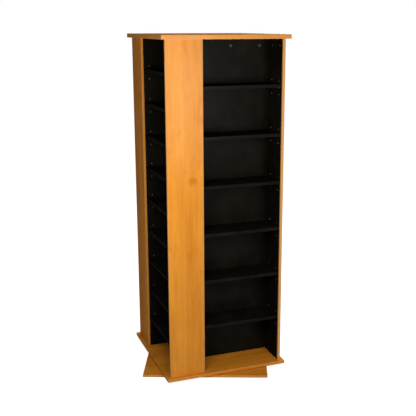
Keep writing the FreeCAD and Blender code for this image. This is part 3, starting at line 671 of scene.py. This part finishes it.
def pinShape(settings):
    # rings along X: half the width times cos to the power of 2 over the squareness, and half the height
    # times sin alike
    angles = np.arange(settings["around"]) * 2 * np.pi / settings["around"]
    along, half, bottom, top, square = np.array(settings["rings"]).T[:, :, None]
    across = half * np.sign(np.cos(angles)) * np.abs(np.cos(angles)) ** (2 / square)
    rise = (top - bottom) / 2 * np.sign(np.sin(angles)) * np.abs(np.sin(angles)) ** (2 / square)
    middle = (top + bottom) / 2
    grid = np.stack([along + 0 * across, across, middle + rise], axis=-1)
    ends = [(along[0, 0], 0, middle[0, 0]), (along[-1, 0], 0, middle[-1, 0])]
    points = np.concatenate([grid.reshape(-1, 3), ends])
    return points / millimetres, *ringFaces(*across.shape)


screwSettings = {
    "columns": (0, 13, 29, 45, 61, 77),  # degrees, in each quarter turn, so that the recess has sharp corners
    "recessArm": 0.42,     # half the width of the cross's arms
    "floorReach": 0.7,     # the recess's floor against its mouth: its reach,
    "floorArm": 0.8,       # the width of its arms,
    "floorDish": 0.3,      # and how much deeper its middle is
    "core": 1.45,
    "crest": 2.0,
    "pitch": 2.2,
    "stations": 6,         # rings in each turn of the thread
    "ridgePower": 1.5,     # the higher, the sharper the thread
    "underHead": 0.5,      # from the head to the first ring of the thread
    "tip": 3.0,
    "tipWaist": 0.62,      # radius halfway down the tip, against the core's
    "tipBlunt": (0.1, 0.12),   # the last ring's distance from the point, and its radius
}

# heads as (height, radius) pairs from the face, and their recess as (reach, depth)
sunkHead = ((0.0, 3.4), (0.1, 3.9), (0.35, 4.0), (1.9, 2.15), (2.1, 2.0), (2.4, 1.6))
panHead = ((0.0, 2.6), (0.35, 3.5), (1.0, 3.95), (1.85, 4.0), (2.0, 3.9), (2.0, 2.0), (2.4, 1.6))
sunkRecess = (2.1, 1.5)
panRecess = (2.0, 1.4)


def crossRecess(angles, reach, arm):
    # a cross: the reach, or the half width of an arm over the smaller of |sin| and |cos|, whichever is less
    nearer = np.minimum(np.abs(np.sin(angles)), np.abs(np.cos(angles)))
    return np.minimum(reach, arm / np.maximum(nearer, 1e-6))


def threadRadii(heights, angles, core, crest, pitch, power=screwSettings["ridgePower"]):
    # the core, and on it a ridge of |2 frac(height / pitch - angle / turn) - 1| to the power, faded out
    # over a pitch at both ends
    turns = heights / pitch - angles / (2 * np.pi)
    ridge = np.abs(2 * (turns - np.floor(turns)) - 1) ** power
    fade = np.clip((heights - heights[0]) / pitch, 0, 1) * np.clip((heights[-1] - heights) / pitch, 0, 1)
    return core + (crest - core) * ridge * fade


def screwShape(head, recess, thread, tip, settings=screwSettings):
    # along Z from the head's face: the recess as (reach, depth), the head and the shank as (height, radius)
    # pairs, the thread as (start, end, core, crest, pitch), and the tip as pairs that end with the pole's
    angles = np.radians((np.arange(4)[:, None] * 90 + np.array(settings["columns"])).ravel())
    reach, depth = recess
    start, end, core, crest, pitch = thread
    arm = settings["recessArm"]
    recessHeights = np.array([depth, 0.0])[:, None]
    recessRadii = np.stack([
        crossRecess(angles, reach * settings["floorReach"], arm * settings["floorArm"]),
        crossRecess(angles, reach, arm),
    ])
    headHeights, headRadii = np.array(head, float).T[:, :, None]
    threadHeights = np.arange(start, end, pitch / settings["stations"])[:, None]
    tipHeights, tipRadii = np.array(tip[:-1], float).T[:, :, None]
    heights = np.concatenate([recessHeights, headHeights, threadHeights, tipHeights])
    flat = np.ones_like(angles)
    shankRadii = threadRadii(threadHeights, angles, core, crest, pitch)
    radii = np.concatenate([recessRadii, headRadii * flat, shankRadii, tipRadii * flat])
    return ringShape(heights, radii, angles, depth + settings["floorDish"], tip[-1][0])


def woodScrew(head, recess, length, settings=screwSettings):
    # a screw with a thread up to its head and a cone for a tip
    core, crest, tip = settings["core"], settings["crest"], settings["tip"]
    start, end = head[-1][0] + settings["underHead"], length - tip
    blunt, bluntRadius = settings["tipBlunt"]
    cone = ((end + tip * 0.5, core * settings["tipWaist"]), (length - blunt, bluntRadius), (length, 0.0))
    return screwShape(head, recess, (start, end, core, crest, settings["pitch"]), cone, settings)


# a cam bolt: a ball-edged head and a waist for the cam, a plain shank, and a coarse thread in the board
boltSettings = {
    "head": (
        (0.0, 2.4), (0.3, 2.85), (0.8, 3.0), (3.2, 3.0), (3.7, 2.85), (4.0, 2.4),
        (4.0, 1.75), (9.5, 1.75), (9.5, 2.7), (9.9, 3.0), (35.6, 3.0), (36.0, 2.6), (36.0, 2.0),
    ),
    "recess": (1.6, 1.3),
    "thread": (36.2, 46.0, 1.95, 2.5, 1.6),
    "tip": ((46.3, 1.9), (47.0, 1.2), (47.0, 0.0)),
}

dowelSettings = {
    "length": 30.0,
    "radius": 3.0,
    "chamfer": 0.8,
    "flutes": 12,
    "fluteDepth": 0.15,
}


def dowelShape(settings=dowelSettings):
    # a fluted dowel with chamfered ends: every other column lies a little deeper
    columns = np.arange(2 * settings["flutes"])
    angles = columns * np.pi / settings["flutes"]
    length, radius, chamfer = settings["length"], settings["radius"], settings["chamfer"]
    heights = np.array([(0.0,), (chamfer,), (length - chamfer,), (length,)])
    radii = np.array([(radius - chamfer,), (radius,), (radius,), (radius - chamfer,)])
    return ringShape(heights, radii - settings["fluteDepth"] * (columns % 2), angles, 0.0, length)


def spinsOf(degrees):
    # a turn about Z for each angle
    angles = np.radians(np.asarray(degrees, float))
    c, s, none, one = np.cos(angles), np.sin(angles), 0 * angles, 0 * angles + 1
    return np.stack([c, -s, none, s, c, none, none, none, one], axis=-1).reshape(-1, 3, 3)


def turnsTo(directions):
    # the turn that brings Z to each direction, which lies along an axis of the frame
    along = np.asarray(directions, float)
    side = np.roll(along, 1, axis=-1)
    return np.stack([side, np.cross(along, side), along], axis=-1)


def makeFittings(name, shape, places, turns, body, replaced, material):
    # copies of a shape, each turned and then moved to its place, in one piece
    points, quads, fans = shape
    copies = np.einsum("mij,nj->mni", turns, points) + np.asarray(places)[:, None]
    first = np.arange(len(copies))[:, None, None] * len(points)
    faces = (quads + first).reshape(-1, 4).tolist() + (fans + first).reshape(-1, 3).tolist()
    data = bpy.data.meshes.new(name)
    data.from_pydata(copies.reshape(-1, 3), [], faces)
    data.shade_smooth()
    data.set_sharp_from_angle(angle=math.radians(sharpFrom))
    data.materials.append(material)
    piece = bpy.data.objects.new(name, data)
    scene.collection.objects.link(piece)
    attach(piece, body)
    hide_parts(replaced)


def makeShelfPins(settings=pinSettings):
    shape = pinShape(settings)
    ys = (tower["face"] + settings["fromEdge"], tower["back"] - settings["fromEdge"])
    xs = (tower["wallLeft"], tower["wallRight"])
    for bay in bays:
        shelves = [name for name in nodes if name.startswith(bay + "_bay_shelf_") and name[-1].isdigit()]
        heights = [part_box(name)[0].z - settings["drop"] for name in sorted(shelves)]
        places = [(x, y, z) for z in heights for x in xs for y in ys]
        turns = spinsOf([bays.index(bay) * 90 + half for z in heights for half in (0, 180) for y in ys])
        makeFittings(bay + "_bay_shelf_pins", shape, turnToBay(places, bay), turns, "tower",
                     bay + "_bay_shelf_supports", zincPlate)


fixingSettings = {
    "fromWall": 0.050,        # metres, a back panel's outer screws and bolts from the walls of the bay
    "fromEdge": 0.040,        # metres, a side panel's from its edges
    "screwTurn": 137.5,       # degrees, from one screw to the next, so that their recesses don't line up
    "uprightLength": 45.0,    # mm, of the screws in the uprights, the upper plate and the lower plate
    "upperLength": 17.0,
    "lowerLength": 10.0,
    "dowels": 4,              # in each joint of two uprights
    "dowelEnd": 0.100,        # metres, the outer dowels from the floor and the roof
    "dowelSunk": 0.008,       # metres of the dowel that lie behind the joint
    "dowelTurn": 15,          # degrees, from one dowel to the next
}


def makeUprightFixings(settings):
    # screws from below and cam bolts from above, in the ends of each bay's two uprights
    left, right = tower["wallLeft"], tower["wallRight"]
    xs = (left + settings["fromWall"], (left + right) / 2, right - settings["fromWall"])
    ys = (tower["face"] + settings["fromEdge"], tower["back"] - settings["fromEdge"])
    points = [(x, tower["backMiddle"], 0.0) for x in xs] + [(tower["sideMiddle"], y, 0.0) for y in ys]
    ends = np.concatenate([turnToBay(points, bay) for bay in bays])
    spins = spinsOf(np.arange(len(ends)) * settings["screwTurn"])
    underside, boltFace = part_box("bottom_panel")[0].z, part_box("cam_bolts")[0].z
    makeFittings("upright_screws", woodScrew(sunkHead, sunkRecess, settings["uprightLength"]),
                 ends + (0, 0, underside), spins, "tower", "bottom_panel_screws", zincPlate)
    makeFittings("top_cam_bolts", screwShape(**boltSettings), ends + (0, 0, boltFace), spins, "tower",
                 "cam_bolts", zincPlate)
    return spins


def makePlateFixings(settings, spins):
    # the plates' screws lie at the corners of a square
    upperLow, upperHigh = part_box("deck_plate_screws")
    headRadius = max(radius for _, radius in panHead) / millimetres
    reach = upperHigh.x - headRadius
    corners = np.array([(reach, reach, 0), (-reach, reach, 0), (-reach, -reach, 0), (reach, -reach, 0)])
    upper = corners + (0, 0, upperLow.z)
    makeFittings("upper_plate_screws", woodScrew(panHead, panRecess, settings["upperLength"]), upper,
                 spins[:4], "tower", "deck_plate_screws", zincPlate)
    lower = corners @ spinsOf([-baseTurn])[0].T + (0, 0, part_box("base_plate_screws")[1].z)
    makeFittings("lower_plate_screws", woodScrew(panHead, panRecess, settings["lowerLength"]), lower,
                 turnsTo([(0, 0, -1)] * 4) @ spins[4:8], "base", "base_plate_screws", zincPlate)


def makeDowels(settings):
    # a back panel's end on the wall beside it, and a side panel's edge on the back panel
    count, sunk = settings["dowels"], settings["dowelSunk"]
    lowest, highest = tower["floor"] + settings["dowelEnd"], tower["roof"] - settings["dowelEnd"]
    heights = np.linspace(lowest, highest, count).round(5)  # to a hundredth of a millimetre
    joints = [(tower["wallLeft"] - sunk, tower["backMiddle"], z) for z in heights]
    joints += [(tower["sideMiddle"], tower["back"] + sunk, z) for z in heights]
    along = [(1, 0, 0)] * count + [(0, -1, 0)] * count
    places = np.concatenate([turnToBay(joints, bay) for bay in bays])
    directions = np.concatenate([turnToBay(along, bay) for bay in bays])
    turns = turnsTo(directions) @ spinsOf(np.arange(len(places)) * settings["dowelTurn"])
    makeFittings("fluted_dowels", dowelShape(), places, turns, "tower", "joint_dowels", beech)


makeShelfPins()
screwSpins = makeUprightFixings(fixingSettings)
makePlateFixings(fixingSettings, screwSpins)
makeDowels(fixingSettings)
print("pins, screws, bolts and dowels made")


def seenDirectly(tree, strength, otherwise=0.0):
    # strength for rays from the eye, direct or by a reflection or glass; otherwise, for the light on things
    path = addNode(tree, "LightPath")
    seen = mathOf(tree, "MAXIMUM", path.outputs["Is Camera Ray"], path.outputs["Is Glossy Ray"])
    seen = mathOf(tree, "MAXIMUM", seen, path.outputs["Is Transmission Ray"])
    return mixNumbers(tree, seen, otherwise, strength)


white = (1, 1, 1, 1)

floorSettings = {
    "reach": 60,              # metres each way
    "paint": (0.55, 0.55, 0.55, 1),
    "glow": (0.84, 0.98),     # beside the object and away from it
    "glowRange": (0.9, 2.4),  # metres from the middle, over which the glow changes
}


def makeFloor(settings):
    # pale floor that reads as white but keeps the object's shadow
    data = bpy.data.meshes.new("floor")
    reach = settings["reach"]
    corners = [(-reach, -reach, 0), (reach, -reach, 0), (reach, reach, 0), (-reach, reach, 0)]
    data.from_pydata(corners, [], [(0, 1, 2, 3)])
    floor = bpy.data.objects.new("floor", data)
    scene.collection.objects.link(floor)
    material = bpy.data.materials.new("floor")
    material.use_nodes = True
    tree = material.node_tree
    tree.nodes.clear()
    paint = addNode(tree, "BsdfDiffuse", {"Color": settings["paint"]})
    away = vectorOf(tree, "LENGTH", addNode(tree, "TexCoord").outputs["Object"])
    strength = rangeOf(tree, away, *settings["glowRange"], *settings["glow"], smooth=True)
    glow = addNode(tree, "Emission", {"Color": white, "Strength": seenDirectly(tree, strength)})
    both = addNode(tree, "AddShader", {0: paint.outputs[0], 1: glow.outputs[0]})
    addNode(tree, "OutputMaterial", {"Surface": both.outputs[0]})
    floor.data.materials.append(material)


skySettings = {
    "light": 0.12,    # strength of its light on things
    "seen": 1.0,      # and of what is seen of it
}

lamps = {
    "front": {
        "place": (0.68, -3.14, 1.18), "aim": (-0.1, -0.2, 1.1), "width": 0.45, "height": 1.15,
        "power": 26.6,    # watts
    },
    "left": {
        "place": (-0.745, -1.50, 1.40), "aim": (-0.1, -0.2, 1.1), "width": 1.03, "height": 0.60,
        "power": 20.9,
    },
    "rear": {
        "place": (1.35, 1.75, 2.6), "aim": (0.1, 0.1, 1.0), "width": 1.0, "height": 1.2,
        "power": 55,
    },
}


def makeSky(settings):
    world = bpy.data.worlds.new("studio")
    world.use_nodes = True
    tree = world.node_tree
    tree.nodes.clear()
    strength = seenDirectly(tree, settings["seen"], settings["light"])
    sky = addNode(tree, "Background", {"Strength": strength, "Color": white})
    addNode(tree, "OutputWorld", {"Surface": sky.outputs[0]})
    scene.world = world


def makeLamp(name, lamp):
    data = bpy.data.lights.new(name, "AREA")
    data.shape = "RECTANGLE"
    data.size, data.size_y = lamp["width"], lamp["height"]
    data.energy = lamp["power"]
    light = bpy.data.objects.new(name, data)
    light.location = lamp["place"]
    direction = np.subtract(lamp["aim"], lamp["place"])
    yaw = math.atan2(direction[0], direction[1])
    pitch = math.atan2(direction[2], math.hypot(direction[0], direction[1]))
    light.rotation_euler = (math.radians(90) + pitch, 0, -yaw)
    scene.collection.objects.link(light)


makeFloor(floorSettings)
makeSky(skySettings)
for name, lamp in lamps.items():
    makeLamp(name, lamp)
scene.view_settings.view_transform = "Standard"
print("floor and lights placed")
